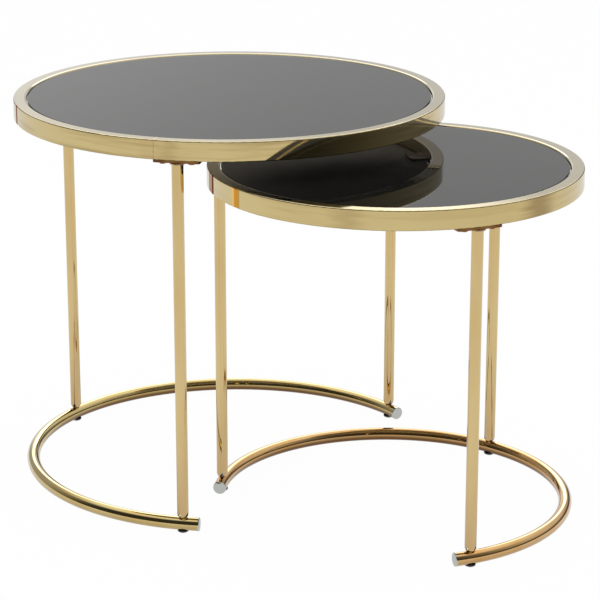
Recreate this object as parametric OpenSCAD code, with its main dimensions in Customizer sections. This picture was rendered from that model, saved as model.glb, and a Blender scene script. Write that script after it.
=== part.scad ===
// Two round nesting tables with recessed glass tops on C-shaped tube bases.
// Millimetres, +Z up. +X is the way the small table is pulled out from under the
// large one, and the origin is the middle of the pair's outline, on the floor.

/* [Large table] */
// Outside diameter of the large top
large_d = 500; // [490:1:520]
// Height of the large top above the floor
large_h = 452; // [440:1:600]
// Angle from the rear leg round to each end leg of the large base
large_leg_step = 111; // [109:0.5:111.5]
// Direction that the large base's open side faces, from +X
large_open_side = 8; // [6:0.5:9]

/* [Small table] */
// Outside diameter of the small top
small_d = 418; // [380:1:419]
// Height of the small top above the floor
small_h = 405; // [360:1:410]
// Angle from the rear leg round to each end leg of the small base
small_leg_step = 118; // [112:0.5:120]
// Direction that the small base's open side faces, from +X
small_open_side = -88; // [-100:1:-80]

/* [Nesting] */
// How far the small table is pulled out, centre to centre
pull_out = 238; // [100:1:500]
// How far the small table's path passes to the side of the large table's centre
path_offset = 11; // [10:0.5:12]

/* [Top] */
// Width of the ring tube, seen from above
ring_w = 15; // [14:0.5:18]
// Height of the ring tube
ring_h = 22; // [18:0.5:26]
// Wall of the ring tube
ring_wall = 1.5; // [1:0.1:2]
// Radius of the ring's crisp corners
ring_corner = 1.2; // [0.8:0.1:1.5]
// Radius of the ring's softer corner beside the glass
ring_lip = 3; // [2:0.25:3.5]
// Thickness of the glass
glass_t = 5; // [4:0.5:6]
// How far the glass lies below the top of the ring
glass_drop = 1.2; // [0.5:0.1:3]
// Gap between the glass and the ring
glass_gap = 0.8; // [0.3:0.1:1.5]
// Bevel round the edge of the glass
glass_bevel = 0.8; // [0.3:0.1:1.5]

/* [Glass supports] */
// Number of tabs welded inside each ring
tab_count = 4; // [3:1:6]
// Length of a tab along the ring
tab_l = 30; // [20:1:50]
// How far a tab reaches in under the glass
tab_reach = 20; // [16:1:30]
// Thickness of a tab
tab_t = 2; // [1.5:0.5:3]
// Diameter of the clear pad on a tab
pad_d = 12; // [8:1:14]
// Thickness of the pad
pad_t = 1.5; // [1:0.5:3]

/* [Legs] */
// Diameter of the leg tubes
leg_d = 13; // [12:0.1:13.5]
// Wall of the leg tubes
leg_wall = 1.2; // [1:0.1:1.5]
// Distance from the edge of the top in to a leg's axis
leg_inset = 9; // [8:0.5:10]
// Height of the crimped nose at a leg's foot, above the base tube
nose_h = 5; // [4:0.25:6]
// Number of notches that let the nose close
notch_count = 4; // [3:1:6]
// Width of a notch
notch_w = 3; // [1.5:0.1:4]
// How far a notch's point rises above the middle of the nose's ball
notch_rise = 3; // [1:0.25:5]
// Length of the threaded insert in a leg's foot
insert_l = 14; // [10:1:20]

/* [Leg plates] */
// Length of the plate that fastens a leg to the ring
plate_l = 52; // [48:1:60]
// Width of the plate
plate_w = 14; // [13.5:0.1:15]
// Thickness of the plate
plate_t = 3; // [2:0.5:4]
// Leg of the weld fillet between a leg and its plate
weld = 1.8; // [1:0.1:2.5]
// Distance between the two screws of a plate
screw_pitch = 32; // [28:1:36]

/* [Base] */
// Diameter of the base tubes
base_d = 15; // [13:0.1:15.5]
// Wall of the base tubes
base_wall = 1.2; // [1:0.1:1.5]
// Length of base tube beyond the axis of each end leg
overhang = 17.5; // [14:0.5:20]
// Diameter of the end caps
cap_d = 15.4; // [14:0.1:16]
// Thickness of an end cap's rim outside the tube
cap_t = 1.5; // [1:0.25:3]
// How far an end cap's face bulges beyond its rim
cap_dome = 0.6; // [0.2:0.1:1.5]
// Length of an end cap's plug inside the tube
cap_plug_l = 8; // [5:1:12]
// Diameter of the glides
foot_d = 12.5; // [11:0.1:13.5]
// Height of the base tube above the floor
foot_h = 3; // [2.75:0.25:5]

/* [Hidden] */
SIDES = ["rear", "left", "right"];
PARTS = concat(
    ["top_ring", "glass", "glass_tabs", "glass_pads", "ring_nuts", "plate_screws"],
    [for (side = SIDES) str("plate_", side)],
    [for (side = SIDES) str("leg_", side)],
    ["leg_inserts", "base_ring", "base_bolts"],
    [for (side = SIDES) str("foot_", side)],
    ["cap_left", "cap_right"]
);

eps = 0.01;
$fn = 64;
ring_fn = 180;       // facets of the preview on the big circles

GOLD = [0.83, 0.71, 0.45];
STEEL = [0.72, 0.72, 0.72];
SILVER = [0.78, 0.79, 0.78];
BLACK = [0.04, 0.04, 0.045];
CLEAR = [0.85, 0.88, 0.88];

screw_d = 4.8;       // M5 screws that hold the plates
screw_hole_d = 5.5;
screw_head_d = 8.4;
screw_head_t = 1.8;
screw_socket = 3;    // across the flats
nut_af = 8;
nut_t = 4;
bolt_d = 5.8;        // M6 bolts that hold the legs to the base
bolt_hole_d = 6.4;
bolt_head_d = 8.4;
bolt_socket = 4;
thread_clear = 0.1;  // between a bolt's shank and the thread it runs in
plate_corner = 3;
tab_corner = 4;
pad_edge = 1;        // from the end of a tab to its pad
cap_edge = 0.7;      // rounding of an end cap's rim
plug_clear = 0.4;    // between an end cap's plug and the bent tube's bore
foot_face_d = 5;     // flat that stands on the floor
foot_floor = 1.4;    // wall under the bolt's head
foot_pocket_d = 8.7; // pocket that snaps over the bolt's head
foot_rim = 0.6;      // how far a glide's rim rises beside the tube

base_r = base_d / 2;
base_z = foot_h + base_r;
ridge_z = foot_h + base_d;
nose_z = ridge_z + nose_h;
// A ball through the rim of the flat and through the glide's full width one wall up
foot_side_z = foot_h - 1;
foot_ball_z = (pow(foot_d, 2) / 4 - pow(foot_face_d, 2) / 4 + pow(foot_side_z, 2)) / (2 * foot_side_z);
foot_ball_r = sqrt(pow(foot_face_d, 2) / 4 + pow(foot_ball_z, 2));
// A ball through the middle of an end cap's bulge and the inside of its rounded rim
cap_face_r = cap_d / 2 - cap_edge;
cap_ball_r = (pow(cap_face_r, 2) + pow(cap_dome, 2)) / (2 * cap_dome);

// The origin is half way along the pair's outline in X
shift_x = -(pull_out + small_d / 2 - large_d / 2) / 2;

// A table is [top diameter, height, leg step, open side, centre, turns of its crimped legs]
LARGE = [large_d, large_h, large_leg_step, large_open_side, [shift_x, 0], [27, -16, -21]];
SMALL = [small_d, small_h, small_leg_step, small_open_side, [shift_x + pull_out, path_offset],
         [-27, 27, 11]];

function top_r(t) = t[0] / 2;
function top_z(t) = t[1];
function leg_step(t) = t[2];
function open_side(t) = t[3];
function centre(t) = t[4];
function crimp_turn(t, i) = t[5][i];
function ring_z(t) = top_z(t) - ring_h;
function ring_inner_r(t) = top_r(t) - ring_w;
function ring_middle_r(t) = top_r(t) - ring_w / 2;
function plate_z(t) = ring_z(t) - plate_t;
function glass_z(t) = top_z(t) - glass_drop - glass_t;
function tab_z(t) = glass_z(t) - pad_t - tab_t;
function leg_r(t) = top_r(t) - leg_inset;
// Legs stand at the rear, opposite the open side, and at a step either way from it
function leg_angle(t, i) = 180 + [0, -1, 1][i] * leg_step(t);
function base_half(t) = leg_step(t) + overhang / leg_r(t) * 180 / PI;
function screw_angle(t) = asin(screw_pitch / 2 / ring_middle_r(t));

module rounded_rect(w, h, r) {
    translate([r, 0]) square([w - 2 * r, h]);
    translate([0, r]) square([w, h - 2 * r]);
    for (x = [r, w - r], y = [r, h - r]) translate([x, y]) circle(r);
}

// The waste outside a rounded corner, which stands at the origin
module corner_waste(r) difference() {
    translate([-eps, -eps]) square(r + eps);
    translate([r, r]) circle(r);
}

// Hexagonal prism by its width across the flats
module hexagon(af, h) cylinder(r = af / 2 / cos(30), h = h, $fn = 6);

module at_table(t) translate([centre(t)[0], centre(t)[1], 0]) rotate(open_side(t)) children();

module at_leg(t, i) rotate(leg_angle(t, i)) translate([leg_r(t), 0, 0]) children();

module at_screws(t, i) for (side = [-1, 1])
    rotate(leg_angle(t, i) + side * screw_angle(t)) translate([ring_middle_r(t), 0, 0]) children();

module at_tabs(t) for (k = [0:tab_count - 1]) rotate((k + 0.5) * 360 / tab_count) children();

// The outside of the base tube, all the way round
module base_outside(t) rotate_extrude($fn = ring_fn) translate([leg_r(t), base_z]) circle(base_r);

// ---- top ----

module top_ring(t) color(GOLD) difference() {
    rotate_extrude($fn = ring_fn) translate([ring_inner_r(t), ring_z(t)]) difference() {
        rounded_rect(ring_w, ring_h, ring_corner);
        translate([0, ring_h]) mirror([0, 1, 0]) corner_waste(ring_lip);
        translate([ring_wall, ring_wall])
            rounded_rect(ring_w - 2 * ring_wall, ring_h - 2 * ring_wall, ring_lip - ring_wall);
    }
    for (i = [0:2]) at_screws(t, i) translate([0, 0, ring_z(t) - eps])
        cylinder(d = screw_hole_d, h = ring_wall + 2 * eps);
}

module glass(t) color(BLACK) {
    r = ring_inner_r(t) - glass_gap;
    translate([0, 0, glass_z(t)]) rotate_extrude($fn = ring_fn) polygon([
        [0, 0], [r - glass_bevel, 0], [r, glass_bevel],
        [r, glass_t - glass_bevel], [r - glass_bevel, glass_t], [0, glass_t]
    ]);
}

module glass_tabs(t) color(GOLD) at_tabs(t) translate([0, 0, tab_z(t)]) linear_extrude(tab_t) intersection() {
    translate([ring_inner_r(t) - tab_reach, -tab_l / 2]) rounded_rect(2 * tab_reach, tab_l, tab_corner);
    circle(ring_inner_r(t), $fn = ring_fn);
}

module glass_pads(t) color(CLEAR) at_tabs(t)
    translate([ring_inner_r(t) - tab_reach + pad_edge + pad_d / 2, 0, tab_z(t) + tab_t])
        cylinder(d = pad_d, h = pad_t);

module ring_nuts(t) color(STEEL) for (i = [0:2]) at_screws(t, i)
    translate([0, 0, ring_z(t) + ring_wall]) difference() {
        hexagon(nut_af, nut_t);
        translate([0, 0, -eps]) cylinder(d = screw_d + 2 * thread_clear, h = nut_t + 2 * eps);
    }

// ---- legs and their plates ----

// Flat bar under the ring, with the weld fillet that joins it to its leg
module plate(t, i) color(GOLD) difference() {
    at_leg(t, i) {
        translate([-plate_w / 2, -plate_l / 2, plate_z(t)]) linear_extrude(plate_t)
            rounded_rect(plate_w, plate_l, plate_corner);
        translate([0, 0, plate_z(t)]) rotate_extrude()
            polygon([[leg_d / 2, -weld], [leg_d / 2 + weld, 0], [leg_d / 2 + weld, eps], [leg_d / 2, eps]]);
    }
    at_screws(t, i) translate([0, 0, plate_z(t) - eps]) cylinder(d = screw_hole_d, h = plate_t + 2 * eps);
}

module plate_screws(t) color(GOLD) for (i = [0:2]) at_screws(t, i) translate([0, 0, plate_z(t)]) {
    cylinder(d = screw_d, h = plate_t + ring_wall + nut_t);
    difference() {
        translate([0, 0, -screw_head_t]) cylinder(d1 = screw_head_d - screw_head_t, d2 = screw_head_d, h = screw_head_t);
        translate([0, 0, -screw_head_t - eps]) hexagon(screw_socket, screw_head_t / 2);
    }
}

// Half outline of a round bar with a ball nose, centred on the nose's ball
module ball_nosed(r, h) {
    square([r, h]);
    intersection() {
        circle(r);
        translate([0, -r]) square([r, r + eps]);
    }
}

// Round tube whose notched end is crimped to a ball nose that sits on the base tube
module leg(t, i) color(GOLD) difference() {
    at_leg(t, i) translate([0, 0, nose_z]) difference() {
        h = plate_z(t) - nose_z;
        rotate_extrude() difference() {
            ball_nosed(leg_d / 2, h);
            ball_nosed(leg_d / 2 - leg_wall, h + eps);
            translate([0, -leg_d / 2]) square([bolt_hole_d / 2, leg_d]);
        }
        for (k = [0:notch_count - 1]) rotate(crimp_turn(t, i) + k * 360 / notch_count) rotate([90, 0, 90])
            linear_extrude(leg_d) polygon([
                [0, notch_rise], [notch_w / 2, -nose_h / 2], [notch_w / 2, -2 * nose_h],
                [-notch_w / 2, -2 * nose_h], [-notch_w / 2, -nose_h / 2]
            ]);
    }
    base_outside(t);
}

module leg_inserts(t) color(STEEL) for (i = [0:2]) at_leg(t, i) translate([0, 0, nose_z]) difference() {
    cylinder(d = leg_d - 2 * leg_wall, h = insert_l);
    translate([0, 0, -eps]) cylinder(d = bolt_d + 2 * thread_clear, h = insert_l + 2 * eps);
}

// ---- base ----

module base_ring(t) color(GOLD) difference() {
    rotate(180 - base_half(t)) rotate_extrude(angle = 2 * base_half(t), $fn = ring_fn)
        translate([leg_r(t), base_z]) difference() {
            circle(base_r);
            circle(base_r - base_wall);
        }
    for (i = [0:2]) at_leg(t, i) translate([0, 0, foot_h - eps]) cylinder(d = bolt_hole_d, h = base_d + 2 * eps);
}

module base_bolts(t) color(STEEL) for (i = [0:2]) at_leg(t, i) translate([0, 0, foot_h]) {
    cylinder(d = bolt_d, h = base_d + nose_h + insert_l);
    head_t = foot_h - foot_floor;
    translate([0, 0, -head_t]) difference() {
        cylinder(d = bolt_head_d, h = head_t);
        translate([0, 0, -eps]) hexagon(bolt_socket, head_t / 2);
    }
}

// Domed black glide that snaps over a bolt's head and is hollowed to the tube
module foot(t, i) color(BLACK) difference() {
    at_leg(t, i) difference() {
        rotate_extrude() intersection() {
            translate([0, foot_ball_z]) circle(foot_ball_r);
            square([foot_d / 2, foot_h + foot_rim]);
        }
        translate([0, 0, foot_floor]) cylinder(d = foot_pocket_d, h = foot_h);
    }
    base_outside(t);
}

// Domed plug that closes a base tube. side is -1 for the left end and 1 for the right one
module cap(t, side) color(SILVER) rotate(180 + side * base_half(t))
    translate([leg_r(t), 0, base_z]) rotate([-90 * side, 0, 0]) {
        translate([0, 0, -cap_plug_l]) cylinder(r = base_r - base_wall - plug_clear, h = cap_plug_l + cap_t / 2);
        rotate_extrude() {
            square([cap_d / 2, cap_t - cap_edge]);
            intersection() {
                translate([0, cap_t + cap_dome - cap_ball_r]) circle(cap_ball_r);
                square([cap_face_r, cap_t + cap_dome]);
            }
            intersection() {
                translate([cap_face_r, cap_t - cap_edge]) circle(cap_edge);
                square([cap_d / 2, cap_t]);
            }
        }
    }

// ---- the two tables ----

module table(name, t) at_table(t) {
    top_ring(t);
    glass(t);
    glass_tabs(t);
    glass_pads(t);
    ring_nuts(t);
    plate_screws(t);
    leg_inserts(t);
    base_ring(t);
    base_bolts(t);
    for (i = [0:2]) {
        plate(t, i);
        leg(t, i);
        foot(t, i);
    }
    cap(t, -1);
    cap(t, 1);
}

table("large", LARGE);
table("small", SMALL);
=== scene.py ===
import math
import bpy
import numpy as np
from mathutils import Matrix, Vector


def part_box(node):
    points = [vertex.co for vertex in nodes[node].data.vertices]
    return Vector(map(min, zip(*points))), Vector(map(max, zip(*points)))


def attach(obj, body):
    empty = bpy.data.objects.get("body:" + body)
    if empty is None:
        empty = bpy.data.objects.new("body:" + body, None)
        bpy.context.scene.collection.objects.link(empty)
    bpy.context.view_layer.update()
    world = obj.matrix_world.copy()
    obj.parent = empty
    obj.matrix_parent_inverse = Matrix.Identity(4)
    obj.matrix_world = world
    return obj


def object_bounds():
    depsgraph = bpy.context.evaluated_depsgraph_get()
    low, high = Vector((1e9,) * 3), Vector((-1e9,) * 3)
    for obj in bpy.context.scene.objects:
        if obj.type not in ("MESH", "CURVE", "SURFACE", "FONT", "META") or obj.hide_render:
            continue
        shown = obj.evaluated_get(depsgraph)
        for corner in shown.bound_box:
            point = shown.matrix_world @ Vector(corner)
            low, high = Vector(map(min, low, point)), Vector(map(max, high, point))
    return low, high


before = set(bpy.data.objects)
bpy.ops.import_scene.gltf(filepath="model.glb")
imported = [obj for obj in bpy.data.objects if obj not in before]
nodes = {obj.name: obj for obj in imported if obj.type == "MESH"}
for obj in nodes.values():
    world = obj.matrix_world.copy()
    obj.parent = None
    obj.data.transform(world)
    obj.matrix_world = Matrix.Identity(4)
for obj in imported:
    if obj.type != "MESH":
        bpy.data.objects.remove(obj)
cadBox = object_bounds()
print("frame loaded:", len(nodes), "CAD nodes")

bpy.context.scene.view_settings.view_transform = "Standard"

tables = ("large", "small")
legSides = ("rear", "left", "right")


# A number at a socket in a node tree: sums, products and so on add Math nodes. A colour, a vector or a
# shader is wrapped in it too, and only handed on.
class Value:
    def __init__(self, finish, socket):
        self.finish = finish
        self.socket = socket

    def maths(self, operation, *others):
        values = [self.socket] + [other.socket if isinstance(other, Value) else other for other in others]
        return self.finish.node("ShaderNodeMath", {"operation": operation}, values)

    def __add__(self, other):
        return self.maths("ADD", other)

    def __radd__(self, other):
        return self.maths("ADD", other)

    def __sub__(self, other):
        return self.maths("SUBTRACT", other)

    def __rsub__(self, other):
        return (self * -1.0) + other

    def __mul__(self, other):
        return self.maths("MULTIPLY", other)

    def __rmul__(self, other):
        return self.maths("MULTIPLY", other)

    def __truediv__(self, other):
        return self.maths("DIVIDE", other)

    def __neg__(self):
        return self * -1.0

    def __pow__(self, other):
        return self.maths("POWER", other)

    def __abs__(self):
        return self.maths("ABSOLUTE")


# A node tree that is filled by one call for each node. Inputs go by name or in order.
class Finish:
    def __init__(self, tree):
        self.tree = tree
        tree.nodes.clear()

    def node(self, kind, settings=None, inputs=None, output=0):
        made = self.tree.nodes.new(kind)
        for name, setting in (settings or {}).items():
            setattr(made, name, setting)
        pairs = inputs.items() if isinstance(inputs, dict) else enumerate(inputs or [])
        for key, value in pairs:
            source = value.socket if isinstance(value, Value) else value
            if isinstance(source, bpy.types.NodeSocket):
                self.tree.links.new(source, made.inputs[key])
            elif source is not None:
                made.inputs[key].default_value = source
        return Value(self, made.outputs[output]) if made.outputs else made

    # 0 where value is under low, 1 where it is over high, and smooth between
    def between(self, value, low, high):
        settings = {"interpolation_type": "SMOOTHSTEP", "clamp": True}
        inputs = {"Value": value, "From Min": low, "From Max": high, "To Min": 0.0, "To Max": 1.0}
        return self.node("ShaderNodeMapRange", settings, inputs)

    # first where factor is 0 and second where it is 1, for numbers
    def blend(self, factor, first, second):
        return factor * (second - first) + first

    # The same for colours. Inputs 0, 6 and 7 are the node's factor and its two colours, and output 2 the mix.
    def mixColour(self, factor, first, second):
        settings = {"data_type": "RGBA", "blend_type": "MIX", "clamp_factor": True}
        return self.node("ShaderNodeMix", settings, {0: factor, 6: first, 7: second}, output=2)

    # Object coordinates from a centre, turned about Z and then scaled
    def place(self, centre=(0.0, 0.0, 0.0), turn=0.0, scale=(1.0, 1.0, 1.0)):
        objectPoint = self.node("ShaderNodeTexCoord", output="Object")
        moved = self.node("ShaderNodeVectorMath", {"operation": "SUBTRACT"}, [objectPoint, centre])
        inputs = {"Vector": moved, "Rotation": (0.0, 0.0, -turn), "Scale": scale}
        return self.node("ShaderNodeMapping", {"vector_type": "POINT"}, inputs)

    # The x, y and z of a vector
    def axes(self, vector):
        split = self.tree.nodes.new("ShaderNodeSeparateXYZ")
        self.tree.links.new(vector.socket, split.inputs[0])
        return [Value(self, socket) for socket in split.outputs]

    def noise(self, vector, scale=1.0, detail=2.0, roughness=0.5, distortion=0.0):
        inputs = {"Vector": vector, "Scale": scale, "Detail": detail, "Roughness": roughness,
                  "Distortion": distortion}
        return self.node("ShaderNodeTexNoise", {"noise_dimensions": "3D"}, inputs)

    # 1 for the kind of ray that the output's name gives, and 0 for the others
    def ray(self, name):
        return self.node("ShaderNodeLightPath", output=name)

    # 1 where value is over 0, or else 0
    def step(self, value):
        return value.maths("GREATER_THAN", 0.0)

    # How far value lies over limit, or under -limit as a negative number
    def beyond(self, value, limit):
        return (value.maths("MAXIMUM", limit) - limit) + (value.maths("MINIMUM", -limit) + limit)

    # A unit normal from sidewards along the level direction (x, y) and upwards
    def normal(self, x, y, sidewards, upwards):
        reach = sidewards / (x * x + y * y) ** 0.5
        return self.worldNormal(self.node("ShaderNodeCombineXYZ", {}, [x * reach, y * reach, upwards]), 0.0)

    # A vector turned about Z, made a unit and taken from the piece's axes to the world's
    def worldNormal(self, vector, turn):
        inputs = {"Vector": vector, "Angle": turn}
        turned = self.node("ShaderNodeVectorRotate", {"rotation_type": "Z_AXIS"}, inputs)
        unit = self.node("ShaderNodeVectorMath", {"operation": "NORMALIZE"}, [turned])
        settings = {"vector_type": "NORMAL", "convert_from": "OBJECT", "convert_to": "WORLD"}
        return self.node("ShaderNodeVectorTransform", settings, [unit])

    # Depth is in metres for a height of 1
    def bump(self, height, depth, under=None):
        return self.node("ShaderNodeBump", {}, {"Strength": 1.0, "Distance": depth, "Height": height,
                                                "Normal": under})

    def shader(self, **inputs):
        names = {"colour": "Base Color", "metallic": "Metallic", "roughness": "Roughness", "ior": "IOR",
                 "coat": "Coat Weight", "coatRoughness": "Coat Roughness", "coatIor": "Coat IOR",
                 "normal": "Normal", "transmission": "Transmission Weight", "tint": "Specular Tint"}
        return self.node("ShaderNodeBsdfPrincipled", {}, {names[key]: inputs[key] for key in inputs})

    def surface(self, shader):
        self.node("ShaderNodeOutputMaterial", {}, {"Surface": shader})


def newFinish(name):
    material = bpy.data.materials.new(name)
    material.use_nodes = True
    return material, Finish(material.node_tree)


def dress(nodeName, material):
    mesh = nodes[nodeName].data
    mesh.materials.clear()
    mesh.materials.append(material)
    mesh.polygons.foreach_set("material_index", np.zeros(len(mesh.polygons), dtype=np.int32))


def centreOf(nodeName):
    low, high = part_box(nodeName)
    return (low + high) / 2


# The middle of a leg's foot, on its axis
def legFoot(table, side):
    low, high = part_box(table + "_leg_" + side)
    return Vector(((low.x + high.x) / 2, (low.y + high.y) / 2, low.z))


# The centre of the circle that a base tube is bent on, and the circle's and the tube's radius
def baseCircle(table):
    low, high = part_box(table + "_base_ring")
    centre = centreOf(table + "_top_ring")
    centre.z = (low.z + high.z) / 2
    radius = (legFoot(table, "rear").xy - centre.xy).length
    return centre, radius, (high.z - low.z) / 2


# Gold: pale plating under a clear lacquer, which whitens it where it is seen at a low angle. As a noise rises
# through a span, the plating turns from pale to deep, or its smears grow rougher.
goldLook = {
    "pale": (0.72, 0.575, 0.265, 1.0),
    "deep": (0.66, 0.51, 0.215, 1.0),
    "copper": (0.52, 0.28, 0.13, 1.0),
    "brown": (0.40, 0.28, 0.11, 1.0),
    # bronze is the painted shade under the rings
    "bronze": (0.26, 0.19, 0.09, 1.0),
    "orange": (1.0, 0.58, 0.12, 1.0),
    # worn is the painted highlight on the rings' tops and lips
    "worn": (0.80, 0.72, 0.50, 1.0),
    # the dark red of the rings' painted reflection stripes
    "paintedReflection": (0.26, 0.065, 0.025, 1.0),
    "toneSpan": (0.35, 0.7),
    "roughness": 0.045,
    "smears": 0.04,
    "smearSpan": (0.5, 0.8),
    "lacquer": 1.0,
    "lacquerIor": 1.5,
    "lacquerRoughness": 0.03,
}


# bare is the share of the lacquer that is missing
def goldShader(f, colour, rough, normal, bare=0.0):
    return f.shader(colour=colour, metallic=1.0, roughness=rough, coat=goldLook["lacquer"] * (1.0 - bare),
                    coatRoughness=goldLook["lacquerRoughness"], coatIor=goldLook["lacquerIor"], normal=normal)


def goldTone(f, noise, pale=goldLook["pale"], deep=goldLook["deep"]):
    return f.mixColour(f.between(noise, *goldLook["toneSpan"]), pale, deep)


def goldRoughness(f, noise, span=goldLook["smearSpan"]):
    return goldLook["roughness"] + goldLook["smears"] * f.between(noise, *span)


# Rolled tube: long shallow dents along the band, a top that the rolls leave falling outwards, a band that
# leans in towards its lower edge, streaks of browner plating round it, and one upright butt weld, ground flat
# and plated over. A mark tints an upright stripe of the band: its turn round the ring in degrees, half its
# width, its softness, its strength and its colour. The large ring's brown mark is a painted reflection: it
# darkens the band where the band reflects the small table's black glass. A painted reflection stripe is a
# matt dark red stripe that stands for a dark reflection, where the bands face the same way: its turn, half
# its width, its softness and its strength. Underneath, a painted shade darkens the plating to bronze and
# takes most of the lacquer off. On top and on the lip beside the glass the plating is painted paler, a
# painted highlight for the bright room that they reflect.
ringLook = {
    "width": 0.015, "corner": 0.0012, "lipCorner": 0.003, "topFall": 0.045, "bandLean": 0.04,
    "dentLength": 0.11, "dentHeight": 0.03, "dentDepth": 0.00010,
    "smearScale": (60.0, 60.0, 260.0),
    "streakScale": (9.0, 9.0, 170.0), "streakSpan": (0.45, 0.75), "streaks": {"large": 0.60, "small": 0.25},
    "seamTurn": {"large": math.radians(-66.6), "small": math.radians(132.0)},
    "seamWidth": 0.0006, "seamDepth": 0.00010, "seamWobble": 0.0012, "wobbleScale": 900.0,
    "sideFade": 0.01, "seamCopper": 0.6, "seamRoughness": 0.2,
    "heatCopper": 0.35, "heatAside": 0.006, "heatCore": 0.003, "heatReach": 0.016, "heatSpan": (0.35, 0.6),
    "faceSpan": (0.8, 0.95), "lipEnd": 0.3,
    # The underside's painted shade: its bronze share, and the lacquer taken off there
    # worn sets the painted highlight on the top and the lip
    "paintedUnderShade": 0.8, "worn": 0.45, "bareUnder": 0.8, "bareBand": 0.5,
    "raggedScale": (14.0, 14.0, 260.0), "ragged": 0.03, "raggedFrom": 0.015,
    "marks": {
        # The large ring's brown mark is a painted reflection of the small table's black glass
        "large": [(-63.0, 0.016, 1.0, 0.35, "brown")],
        "small": [(-105.9, 0.0070, 0.3, 1.0, "orange"), (-65.0, 0.026, 1.0, 0.40, "brown"),
                  (-5.0, 0.034, 0.9, 0.95, "brown")],
    },
    # painted reflections: matt dark stripes where both bands face the same way
    "paintedReflection": {
        "large": [(-122.8, 0.0050, 0.3, 0.9)],
        "small": [(-122.8, 0.0050, 0.3, 0.95), (-124.9, 0.0030, 0.3, 0.5), (-126.6, 0.0030, 0.3, 0.9)],
    },
}


# How far a point of a ring lies outwards and up from the middle of the tube's section, and its smooth normal.
# The section is a rounded box: in a corner the normal points away from the corner's centre.
def ringSection(f, centre, middleRadius, halfHeight):
    look = ringLook
    halfWidth = look["width"] / 2
    x, y, z = f.axes(f.place(centre))
    outwards = (x * x + y * y) ** 0.5 - middleRadius
    lip = f.step(-outwards) * f.step(z)
    corner = f.blend(lip, look["corner"], look["lipCorner"])
    sidewards = f.beyond(outwards, halfWidth - corner)
    upwards = f.beyond(z, halfHeight - corner)
    fallen = sidewards + look["topFall"] * upwards.maths("MAXIMUM", 0.0)
    leaning = upwards - look["bandLean"] * sidewards.maths("MAXIMUM", 0.0)
    return outwards, z, f.normal(x, y, fallen, leaning)


# Each is 1 on one face of a ring and 0 on the others: outer band, underside, top, and lip beside the glass
def ringFaces(f, outwards, z, halfHeight):
    look = ringLook
    halfWidth = look["width"] / 2
    low, high = look["faceSpan"]
    band = f.between(outwards, halfWidth * low, halfWidth * high)
    under = f.between(-z, halfHeight - look["corner"], halfHeight)
    top = f.between(z, halfHeight - look["corner"], halfHeight)
    lip = f.between(-outwards, halfWidth - look["lipCorner"], halfWidth - look["lipCorner"] * look["lipEnd"])
    return band, under, top, lip


# The seam lies in a half plane through the table's axis, and the weld's heat to one side of it
def ringSeam(f, table, centre):
    look = ringLook
    along, across = f.axes(f.place(centre, turn=look["seamTurn"][table]))[:2]
    wobble = f.noise(f.place(centre), look["wobbleScale"])
    onSide = f.between(along, 0.0, look["sideFade"])
    seam = 1.0 - f.between(abs(across + (wobble - 0.5) * look["seamWobble"]), 0.0, look["seamWidth"])
    heat = 1.0 - f.between(abs(across + look["heatAside"]), look["heatCore"], look["heatReach"])
    return seam * onSide, heat * onSide


# 1 in an upright stripe on a ring's band and 0 beside it. Wander moves its edges sideways.
def ringStripe(f, centre, band, turn, width, softness, wander=0.0):
    along, across = f.axes(f.place(centre, turn=math.radians(turn)))[:2]
    stripe = 1.0 - f.between(abs(across + wander), width * (1.0 - softness), width)
    return stripe * f.step(along) * band


# Narrow stripes have straighter edges than wide ones
def ringMarks(f, table, centre, band):
    look = ringLook
    ragged = f.noise(f.place(centre, scale=look["raggedScale"]), detail=2.0)
    marks = []
    for turn, width, softness, strength, tint in look["marks"][table]:
        wander = (ragged - 0.5) * (look["ragged"] * min(width / look["raggedFrom"], 1.0) ** 2)
        marks.append((ringStripe(f, centre, band, turn, width, softness, wander) * strength, tint))
    return marks


def ringGold(table):
    look = ringLook
    material, f = newFinish(table + "RingGold")
    low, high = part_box(table + "_top_ring")
    centre, halfHeight = (low + high) / 2, (high.z - low.z) / 2
    outwards, z, smooth = ringSection(f, centre, (high.x - low.x) / 2 - look["width"] / 2, halfHeight)
    band, under, top, lip = ringFaces(f, outwards, z, halfHeight)
    seam, heat = ringSeam(f, table, centre)
    dentScale = (1 / look["dentLength"], 1 / look["dentLength"], 1 / look["dentHeight"])
    stretched = f.place(centre, scale=dentScale)
    dents = f.noise(stretched, detail=1.5, roughness=0.4, distortion=0.3)
    tone = f.noise(stretched, 0.6, detail=3.0)
    smears = f.noise(f.place(centre, scale=look["smearScale"]), detail=4.0, roughness=0.6)
    streaks = f.noise(f.place(centre, scale=look["streakScale"]), detail=3.0, distortion=0.2)
    layers = [(heat * f.between(dents, *look["heatSpan"]) * look["heatCopper"], "copper"),
              (seam * look["seamCopper"], "copper"),
              (f.between(streaks, *look["streakSpan"]) * look["streaks"][table], "brown"),
              *ringMarks(f, table, centre, band),
              # Painted shade darkens the underside to bronze
              # The top and the lip are painted paler as a painted highlight
              (under * look["paintedUnderShade"], "bronze"), (top * look["worn"], "worn"), (lip * look["worn"], "worn")]
    colour = goldTone(f, tone)
    for share, tint in layers:
        colour = f.mixColour(share, colour, goldLook[tint])
    rough = goldRoughness(f, smears) + seam * look["seamRoughness"]
    dented = f.bump(dents, look["dentDepth"], smooth)
    plated = goldShader(f, colour, rough, f.bump(seam, -look["seamDepth"], dented),
                        under * look["bareUnder"] + band * look["bareBand"])
    # Painted reflection: matt dark red stripes standing for a dark reflection in the bands
    reflectionStripes = sum((ringStripe(f, centre, band, turn, width, softness) * strength
                  for turn, width, softness, strength in look["paintedReflection"][table]), 0.0)
    paintedReflection = f.node("ShaderNodeBsdfDiffuse", {}, {"Color": goldLook["paintedReflection"], "Normal": smooth})
    f.surface(f.node("ShaderNodeMixShader", {}, [reflectionStripes, plated, paintedReflection]))
    return material


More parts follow.
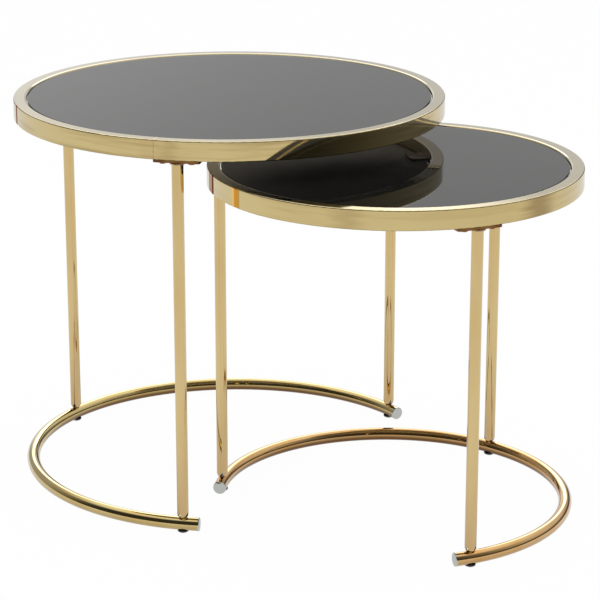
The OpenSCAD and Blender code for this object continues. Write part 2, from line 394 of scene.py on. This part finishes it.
# Drawn tube: faint long draw lines and a slight bow. Towards its crimped foot the plating turns browner, a
# painted shade for the shadowed floor and base tube that it reflects there.
legLook = {
    "pale": (0.77, 0.575, 0.258, 1.0), "deep": (0.71, 0.51, 0.208, 1.0), "toneScale": (40.0, 40.0, 9.0),
    "drawScale": 1500.0, "drawStretch": 0.004, "drawDepth": 0.000003,
    "bowAcross": 30.0, "bowLength": 0.13, "bowDepth": 0.00008,
    # the painted shade towards the foot: its reach and its strength
    "footShadeReach": 0.12, "copper": 0.30,
}


def legGold(table, side):
    look = legLook
    material, f = newFinish(table + "LegGold" + side.capitalize())
    foot = legFoot(table, side)
    z = f.axes(f.place(foot))[2]
    lines = f.noise(f.place(foot, scale=(1.0, 1.0, look["drawStretch"])), look["drawScale"])
    bowScale = (look["bowAcross"], look["bowAcross"], 1 / look["bowLength"])
    bow = f.noise(f.place(foot, scale=bowScale), detail=1.0)
    tone = f.noise(f.place(foot, scale=look["toneScale"]), detail=3.0)
    # painted shade: browner towards the foot
    nearFoot = 1.0 - f.between(z, 0.0, look["footShadeReach"])
    colour = f.mixColour(nearFoot * look["copper"], goldTone(f, tone, look["pale"], look["deep"]),
                         goldLook["copper"])
    bowed = f.bump(bow, look["bowDepth"])
    f.surface(goldShader(f, colour, goldRoughness(f, tone), f.bump(lines, look["drawDepth"], bowed)))
    return material


# Bent tube: the bender leaves slow waves along it. Its plating is deeper than the ring's, and copper on the
# small table. Under the tube, most of all on the inside of the bend, a painted shade darkens it to brown and
# the lacquer is taken off there, for the shadowed floor under the tables that it reflects. The spans are in
# tube radii, inwards and down from the middle of the section.
baseLook = {
    "pale": {"large": (0.80, 0.62, 0.25, 1.0), "small": (0.84, 0.525, 0.21, 1.0)},
    "deep": {"large": (0.76, 0.54, 0.18, 1.0), "small": (0.78, 0.425, 0.115, 1.0)},
    # painted shade: its brown, its share outside and inside the bend, and the lacquer taken off
    "paintedShade": (0.16, 0.07, 0.02, 1.0), "paintedShadeOutside": 0.36, "paintedShadeInside": 0.97, "bare": 0.8,
    "insideSpan": (-0.2, 0.6), "belowSpan": (-0.45, 0.4),
    "waveScale": (20.0, 20.0, 60.0), "waveDepth": 0.00012,
    "toneScale": 22.0, "smearScale": 160.0, "smearSpan": (0.55, 0.8),
}


def baseGold(table):
    look = baseLook
    material, f = newFinish(table + "BaseGold")
    centre, radius, tubeRadius = baseCircle(table)
    x, y, z = f.axes(f.place(centre))
    outwards = (x * x + y * y) ** 0.5 - radius
    smooth = f.normal(x, y, outwards, z)
    inside = f.between(-outwards, *[share * tubeRadius for share in look["insideSpan"]])
    below = f.between(-z, *[share * tubeRadius for share in look["belowSpan"]])
    # painted shade under the tube, deepest on the inside of the bend
    paintedShade = below * f.blend(inside, look["paintedShadeOutside"], look["paintedShadeInside"])
    waves = f.noise(f.place(centre, scale=look["waveScale"]), detail=1.0)
    tone = f.noise(f.place(centre), look["toneScale"], detail=3.0)
    smears = f.noise(f.place(centre), look["smearScale"], detail=3.0)
    colour = f.mixColour(paintedShade, goldTone(f, tone, look["pale"][table], look["deep"][table]), look["paintedShade"])
    f.surface(goldShader(f, colour, goldRoughness(f, smears, look["smearSpan"]),
                         f.bump(waves, look["waveDepth"], smooth), paintedShade * look["bare"]))
    return material


# Plated flat bar and screws: a soft grain from the press, under dark brown plating. The dark brown is partly
# the bar's own unpolished brown and partly painted shade for the shadow gap under the ring.
def stampedGold():
    look = {"brown": (0.27, 0.14, 0.045, 1.0), "dark": (0.17, 0.075, 0.03, 1.0), "stainScale": 60.0,
            "stainSpan": (0.3, 0.7), "grainScale": 900.0, "grainDepth": 0.000004, "roughness": 0.12,
            "worn": 0.1}
    material, f = newFinish("stampedGold")
    grain = f.noise(f.place(), look["grainScale"], detail=3.0)
    stain = f.noise(f.place(), look["stainScale"], detail=3.0)
    # dark brown: partly the bar's own colour and partly painted shade for the gap under the ring
    colour = f.mixColour(f.between(stain, *look["stainSpan"]), look["brown"], look["dark"])
    f.surface(f.shader(colour=colour, metallic=1.0, roughness=look["roughness"] + look["worn"] * stain,
                       normal=f.bump(grain, look["grainDepth"])))
    return material


# Tabs under the glass: dark bronze and dull.
def tabBronze():
    look = {"bronze": (0.13, 0.08, 0.045, 1.0), "dark": (0.07, 0.04, 0.025, 1.0), "stainScale": 90.0,
            "stainSpan": (0.3, 0.7), "stainDepth": 0.00002, "roughness": 0.35, "worn": 0.15}
    material, f = newFinish("tabBronze")
    stain = f.noise(f.place(), look["stainScale"], detail=4.0)
    colour = f.mixColour(f.between(stain, *look["stainSpan"]), look["bronze"], look["dark"])
    f.surface(f.shader(colour=colour, metallic=1.0, roughness=look["roughness"] + look["worn"] * stain,
                       normal=f.bump(stain, look["stainDepth"])))
    return material


# Weld metal under the plating: bronze with burnt patches, and a skin of scale.
def weldGold():
    look = {"bronze": (0.50, 0.30, 0.14, 1.0), "burnt": (0.22, 0.09, 0.045, 1.0), "burntScale": 120.0,
            "burntSpan": (0.4, 0.65), "skinScale": 700.0, "skinSpan": (0.4, 0.8), "skinDepth": 0.00004,
            "roughness": 0.16, "worn": 0.2}
    material, f = newFinish("weldGold")
    skin = f.noise(f.place(), look["skinScale"], detail=3.0)
    burnt = f.noise(f.place(), look["burntScale"])
    colour = f.mixColour(f.between(burnt, *look["burntSpan"]), look["bronze"], look["burnt"])
    rough = look["roughness"] + look["worn"] * f.between(skin, *look["skinSpan"])
    f.surface(goldShader(f, colour, rough, f.bump(skin, look["skinDepth"])))
    return material


# Black float glass with a faint draw wave and wiped smears, and matt brushed paint on its underside.
def blackGlass():
    look = {"colour": (0.008, 0.008, 0.0075, 1.0), "haze": (0.012, 0.012, 0.0113, 1.0),
            "tint": (0.925, 0.935, 0.875, 1.0), "roughness": 0.010, "ior": 1.5,
            "smearTurn": 0.6, "smearScale": (9.0, 34.0, 1.0), "smearSpan": (0.5, 0.85), "smears": 0.025,
            "waveScale": 5.0, "waveDepth": 0.00002,
            "paint": (0.27, 0.25, 0.22, 1.0), "brushScale": (40.0, 300.0, 1.0), "brushDepth": 0.00002,
            "downSpan": (0.9, 0.95)}
    material, f = newFinish("blackGlass")
    smears = f.noise(f.place(turn=look["smearTurn"], scale=look["smearScale"]), detail=4.0, roughness=0.65,
                     distortion=0.8)
    wave = f.noise(f.place(), look["waveScale"], detail=0.0)
    wiped = f.between(smears, *look["smearSpan"])
    polished = f.shader(colour=f.mixColour(wiped, look["colour"], look["haze"]), ior=look["ior"],
                        roughness=look["roughness"] + look["smears"] * wiped, tint=look["tint"],
                        normal=f.bump(wave, look["waveDepth"]))
    brushed = f.noise(f.place(scale=look["brushScale"]), detail=3.0)
    paint = f.node("ShaderNodeBsdfDiffuse", {}, {"Color": look["paint"],
                                                 "Normal": f.bump(brushed, look["brushDepth"])})
    facing = f.axes(f.node("ShaderNodeNewGeometry", output="Normal"))[2]
    underside = f.between(-facing, *look["downSpan"])
    f.surface(f.node("ShaderNodeMixShader", {}, [underside, polished, paint]))
    return material


# Metallised plastic plug: bright grey with a green cast, faint orange peel and scuffs. Its face is a shallow
# dome with a rounded rim. The tiny numbers keep a division and a root off zero.
capLook = {
    "bright": (0.60, 0.62, 0.585, 1.0), "scuffed": (0.46, 0.47, 0.45, 1.0), "roughness": 0.07, "worn": 0.12,
    "scuffScale": 260.0, "scuffSpan": (0.58, 0.78), "peelScale": 500.0, "peelDepth": 0.000006,
    "rim": 0.0007, "domeSlope": 0.17,
}


def silverCap(table, side):
    look = capLook
    material, f = newFinish(table + side.capitalize() + "Cap")
    name = table + "_cap_" + side
    low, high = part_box(name)
    centre, radius = baseCircle(table)[:2]
    middle = centreOf(name) - centre
    turn = math.atan2(middle.y, middle.x)
    rear = legFoot(table, "rear") - centre
    outwards = 1.0 if math.sin(turn - math.atan2(rear.y, rear.x)) > 0 else -1.0
    face = Vector((centre.x + radius * math.cos(turn), centre.y + radius * math.sin(turn), centre.z))
    x, z = f.axes(f.place(face, turn=turn))[::2]
    faceRadius = (high.z - low.z) / 2 - look["rim"]
    reach = (x * x + z * z + 1e-12) ** 0.5
    dome = (reach * (look["domeSlope"] / faceRadius)).maths("MINIMUM", look["domeSlope"])
    slope = dome.maths("MAXIMUM", (reach - faceRadius) / look["rim"]).maths("MINIMUM", 1.0)
    straight = (1.0001 - slope * slope) ** 0.5 * outwards
    local = f.node("ShaderNodeCombineXYZ", {}, [x / reach * slope, straight, z / reach * slope])
    smooth = f.worldNormal(local, turn)
    peel = f.noise(f.place(), look["peelScale"], detail=1.0)
    scuffs = f.noise(f.place(), look["scuffScale"], detail=5.0, roughness=0.7)
    worn = f.between(scuffs, *look["scuffSpan"])
    colour = f.mixColour(worn, look["bright"], look["scuffed"])
    f.surface(f.shader(colour=colour, metallic=1.0, roughness=look["roughness"] + look["worn"] * worn,
                       normal=f.bump(peel, look["peelDepth"], smooth)))
    return material


# Moulded black glide: glossy skin with fine scratches, where the gloss is lost.
def blackPlastic():
    look = {"colour": (0.008, 0.008, 0.009, 1.0), "scratched": (0.03, 0.03, 0.031, 1.0),
            "scratchScale": (2500.0, 300.0, 300.0), "scratchSpan": (0.6, 0.8), "roughness": 0.12, "worn": 0.2,
            "ior": 1.5, "gloss": 0.5, "glossLost": 0.4, "glossRoughness": 0.06, "peelScale": 700.0,
            "peelDepth": 0.00001}
    material, f = newFinish("blackPlastic")
    scratches = f.noise(f.place(scale=look["scratchScale"]), detail=3.0)
    marks = f.between(scratches, *look["scratchSpan"])
    peel = f.noise(f.place(), look["peelScale"], detail=1.0)
    f.surface(f.shader(colour=f.mixColour(marks, look["colour"], look["scratched"]), ior=look["ior"],
                       roughness=look["roughness"] + look["worn"] * marks,
                       coat=look["gloss"] - look["glossLost"] * marks, coatRoughness=look["glossRoughness"],
                       normal=f.bump(peel, look["peelDepth"])))
    return material


# Zinc plated thread parts: spangled grey with a dull bloom, and faint rings from the lathe.
def zincSteel():
    look = {"bright": (0.62, 0.63, 0.64, 1.0), "bloom": (0.48, 0.48, 0.47, 1.0), "bloomScale": 180.0,
            "bloomSpan": (0.35, 0.7), "latheScale": 160.0, "latheStretch": 30.0, "latheDepth": 0.00002,
            "roughness": 0.24, "worn": 0.2, "wornSpan": (0.4, 0.75)}
    material, f = newFinish("zincSteel")
    bloom = f.noise(f.place(), look["bloomScale"], detail=4.0)
    lathe = f.noise(f.place(scale=(1.0, 1.0, look["latheStretch"])), look["latheScale"])
    colour = f.mixColour(f.between(bloom, *look["bloomSpan"]), look["bright"], look["bloom"])
    rough = look["roughness"] + look["worn"] * f.between(bloom, *look["wornSpan"])
    f.surface(f.shader(colour=colour, metallic=1.0, roughness=rough,
                       normal=f.bump(lathe, look["latheDepth"])))
    return material


# Clear soft pad: milky where the light scatters in it.
def clearPad():
    look = {"clear": (0.80, 0.86, 0.87, 1.0), "milky": (0.92, 0.93, 0.92, 1.0), "milkScale": 240.0,
            "milkDepth": 0.00003, "roughness": 0.3, "worn": 0.15, "ior": 1.45, "transmission": 0.7}
    material, f = newFinish("clearPad")
    milk = f.noise(f.place(), look["milkScale"], detail=3.0)
    colour = f.mixColour(milk, look["clear"], look["milky"])
    f.surface(f.shader(colour=colour, roughness=look["roughness"] + look["worn"] * milk, ior=look["ior"],
                       transmission=look["transmission"], normal=f.bump(milk, look["milkDepth"])))
    return material


def dressTables():
    stamped, bronze, glass = stampedGold(), tabBronze(), blackGlass()
    plastic, zinc, pad = blackPlastic(), zincSteel(), clearPad()
    for table in tables:
        dress(table + "_top_ring", ringGold(table))
        dress(table + "_base_ring", baseGold(table))
        dress(table + "_glass", glass)
        dress(table + "_glass_pads", pad)
        dress(table + "_glass_tabs", bronze)
        dress(table + "_plate_screws", stamped)
        for part in ("ring_nuts", "leg_inserts", "base_bolts"):
            dress(table + "_" + part, zinc)
        for side in legSides:
            dress(table + "_leg_" + side, legGold(table, side))
            dress(table + "_plate_" + side, stamped)
            dress(table + "_foot_" + side, plastic)
        for side in ("left", "right"):
            dress(table + "_cap_" + side, silverCap(table, side))
    print("finishes given to every CAD node")


# A closed tube surface on a grid: rows run round the path, columns round the section.
def closedSurface(name, points):
    rows, columns = points.shape[:2]
    row, column = np.meshgrid(np.arange(rows), np.arange(columns), indexing="ij")
    nextRow, nextColumn = (row + 1) % rows, (column + 1) % columns
    faces = np.stack([row * columns + column, nextRow * columns + column,
                      nextRow * columns + nextColumn, row * columns + nextColumn], axis=-1).reshape(-1, 4)
    mesh = bpy.data.meshes.new(name)
    mesh.from_pydata(points.reshape(-1, 3).tolist(), [], faces.tolist())
    mesh.shade_smooth()
    piece = bpy.data.objects.new(name, mesh)
    bpy.context.scene.collection.objects.link(piece)
    return piece


beadLook = {"section": 0.00135, "set": 0.00075, "ripples": 22, "rippleHeight": 0.00016, "stagger": 0.5,
            "swell": 0.00018, "swellTurn": 1.3, "rippleSteps": 10, "sectionSteps": 20}


# Weld bead round a leg's top, under its plate. The point at turn u and section angle v lies s cos v outwards
# and s sin v upwards of a ring round the leg's top. The section's radius s rises and falls once for each
# ripple, at a turn that shifts round the section, and swells slowly round the leg.
def weldBead(table, side, material):
    look = beadLook
    low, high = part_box(table + "_leg_" + side)
    axis, legRadius = (low + high) / 2, (high.x - low.x) / 2
    u = np.linspace(0.0, 2 * math.pi, look["ripples"] * look["rippleSteps"], endpoint=False)[:, None]
    v = np.linspace(0.0, 2 * math.pi, look["sectionSteps"], endpoint=False)[None, :]
    lag = look["stagger"] * np.cos(v + math.pi / 4)
    s = (look["section"] + look["rippleHeight"] * np.abs(np.cos(look["ripples"] * u / 2 - lag))
         + look["swell"] * np.sin(2 * u + look["swellTurn"]) * np.sin(3 * u))
    outwards = legRadius + look["set"] + s * np.cos(v)
    upwards = np.broadcast_to(high.z - look["set"] + s * np.sin(v), outwards.shape)
    points = np.stack([axis.x + outwards * np.cos(u), axis.y + outwards * np.sin(u), upwards], axis=-1)
    piece = closedSurface(table + "_weld_bead_" + side, points)
    piece.data.materials.append(material)
    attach(piece, table + "_table")


def buildBeads():
    material = weldGold()
    for table in tables:
        for side in legSides:
            weldBead(table, side, material)
    print("weld beads laid under the leg plates")


# White paper sweep. The camera sees it nearly white with a trace of shadow. Gloss sees it pale and mostly
# unshadowed near the tables, and dim towards its end.
floorLook = {"halfSide": 4.0, "paper": (0.80, 0.80, 0.79, 1.0), "cameraShare": 0.98, "near": 0.80,
             "nearShare": 0.8, "far": 0.25, "farShare": 1.0, "fadeSpan": (2.2, 3.6)}


def buildFloor():
    look = floorLook
    reach = look["halfSide"]
    mesh = bpy.data.meshes.new("floor")
    corners = [(-reach, -reach, 0.0), (reach, -reach, 0.0), (reach, reach, 0.0), (-reach, reach, 0.0)]
    mesh.from_pydata(corners, [], [(0, 1, 2, 3)])
    floor = bpy.data.objects.new("floor", mesh)
    bpy.context.scene.collection.objects.link(floor)
    material, f = newFinish("floorPaper")
    x, y = f.axes(f.place())[:2]
    end = f.between((x * x + y * y) ** 0.5, *look["fadeSpan"])
    cameraRay, glossyRay = f.ray("Is Camera Ray"), f.ray("Is Glossy Ray")
    strength = cameraRay + glossyRay * f.blend(end, look["near"], look["far"])
    share = cameraRay * look["cameraShare"] + glossyRay * f.blend(end, look["nearShare"], look["farShare"])
    paper = f.node("ShaderNodeBsdfDiffuse", {}, {"Color": look["paper"]})
    glow = f.node("ShaderNodeEmission", {}, {"Strength": strength})
    f.surface(f.node("ShaderNodeMixShader", {}, [share, paper, glow]))
    mesh.materials.append(material)


# White room for the camera, with an even fill of light. Gloss sees a nearly black room in front, walls that
# grow lighter towards the sides, more on the right, and a pale back wall that is lighter above and to the
# left, under a pale ceiling. A span says where one part gives way to the next: from in front (-1) to behind
# (1), from left (-1) to right (1), or from level (0) to overhead (1).
roomLook = {
    "fill": 0.72, "frontTurn": math.radians(-49.0), "front": 0.035,
    "leftSide": 0.36, "leftSpan": (-0.2, 0.7),
    "rightFoot": 0.11, "footSpan": (0.18, 0.28), "rightMiddle": 0.42, "middleSpan": (0.28, 0.40),
    "rightSide": 0.66, "rightSpan": (-1.0, 0.6), "sideSpan": (-0.3, 0.5),
    "back": 0.605, "leftLift": 0.38, "liftSpan": (-0.05, 0.2),
    "aboveBack": 2.6, "aboveSpan": (0.30, 0.37), "backSpan": (0.92, 0.98),
    "ceiling": 0.95, "ceilingTilt": 0.25, "ceilingSpan": (0.65, 0.95),
}


def buildRoom():
    look = roomLook
    world = bpy.data.worlds.new("room")
    world.use_nodes = True
    bpy.context.scene.world = world
    f = Finish(world.node_tree)
    direction = f.node("ShaderNodeTexCoord", output="Generated")
    turned = f.node("ShaderNodeMapping", {"vector_type": "POINT"},
                    {"Vector": direction, "Rotation": (0.0, 0.0, -look["frontTurn"])})
    ahead, sideways, up = f.axes(turned)
    level = (ahead * ahead + sideways * sideways + 0.0001) ** 0.5  # never 0, even straight up
    away, aside = -ahead / level, sideways / level
    leftWall = f.blend(f.between(away, *look["leftSpan"]), look["front"], look["leftSide"])
    rightRise = f.blend(f.between(up, *look["footSpan"]), look["rightFoot"], look["rightMiddle"])
    rightLevel = f.blend(f.between(up, *look["middleSpan"]), rightRise, look["rightSide"])
    rightWall = f.blend(f.between(away, *look["rightSpan"]), look["front"], rightLevel)
    walls = f.blend(f.between(aside, *look["sideSpan"]), leftWall, rightWall)
    backWall = look["back"] * (1.0 + look["leftLift"] * f.between(-aside, *look["liftSpan"]))
    risenWall = f.blend(f.between(up, *look["aboveSpan"]), backWall, look["aboveBack"])
    around = f.blend(f.between(away, *look["backSpan"]), walls, risenWall)
    overhead = f.between(up - ahead * look["ceilingTilt"], *look["ceilingSpan"])
    gloss = f.blend(overhead, around, look["ceiling"])
    cameraRay, glossyRay = f.ray("Is Camera Ray"), f.ray("Is Glossy Ray")
    throughRay = f.ray("Is Transmission Ray")
    otherRay = 1.0 - cameraRay - glossyRay - throughRay
    strength = cameraRay + gloss * glossyRay + throughRay + look["fill"] * otherRay
    background = f.node("ShaderNodeBackground", {}, {"Color": (1.0, 1.0, 1.0, 1.0), "Strength": strength})
    f.node("ShaderNodeOutputWorld", {}, {"Surface": background})


# Soft lamp overhead, which gloss doesn't see
def buildLamp():
    look = {"size": 2.2, "height": 2.4, "power": 26.0}
    data = bpy.data.lights.new("overhead", "AREA")
    data.shape = "SQUARE"
    data.size = look["size"]
    data.energy = look["power"]
    lamp = bpy.data.objects.new("overhead", data)
    lamp.matrix_world = Matrix.Translation((0.0, 0.0, look["height"]))
    lamp.visible_glossy = False
    bpy.context.scene.collection.objects.link(lamp)


def buildCamera():
    look = {"azimuth": 40.83, "elevation": 17.1, "distance": 2.75, "sensor": 36.0, "lens": 141.2,
            "aim": (0.0, 0.011, -0.0088)}
    low, high = cadBox
    aim = (low + high) / 2 + Vector(look["aim"])
    turn, rise = math.radians(look["azimuth"]), math.radians(look["elevation"])
    back = Vector((math.sin(turn) * math.cos(rise), -math.cos(turn) * math.cos(rise), math.sin(rise)))
    data = bpy.data.cameras.new("camera")
    data.sensor_width = look["sensor"]
    data.lens = look["lens"]
    camera = bpy.data.objects.new("camera", data)
    facing = (-back).to_track_quat("-Z", "Y").to_matrix().to_4x4()
    camera.matrix_world = Matrix.Translation(aim + back * look["distance"]) @ facing
    bpy.context.scene.collection.objects.link(camera)
    bpy.context.scene.camera = camera


dressTables()
buildBeads()
buildFloor()
buildRoom()
buildLamp()
buildCamera()
print("studio built")
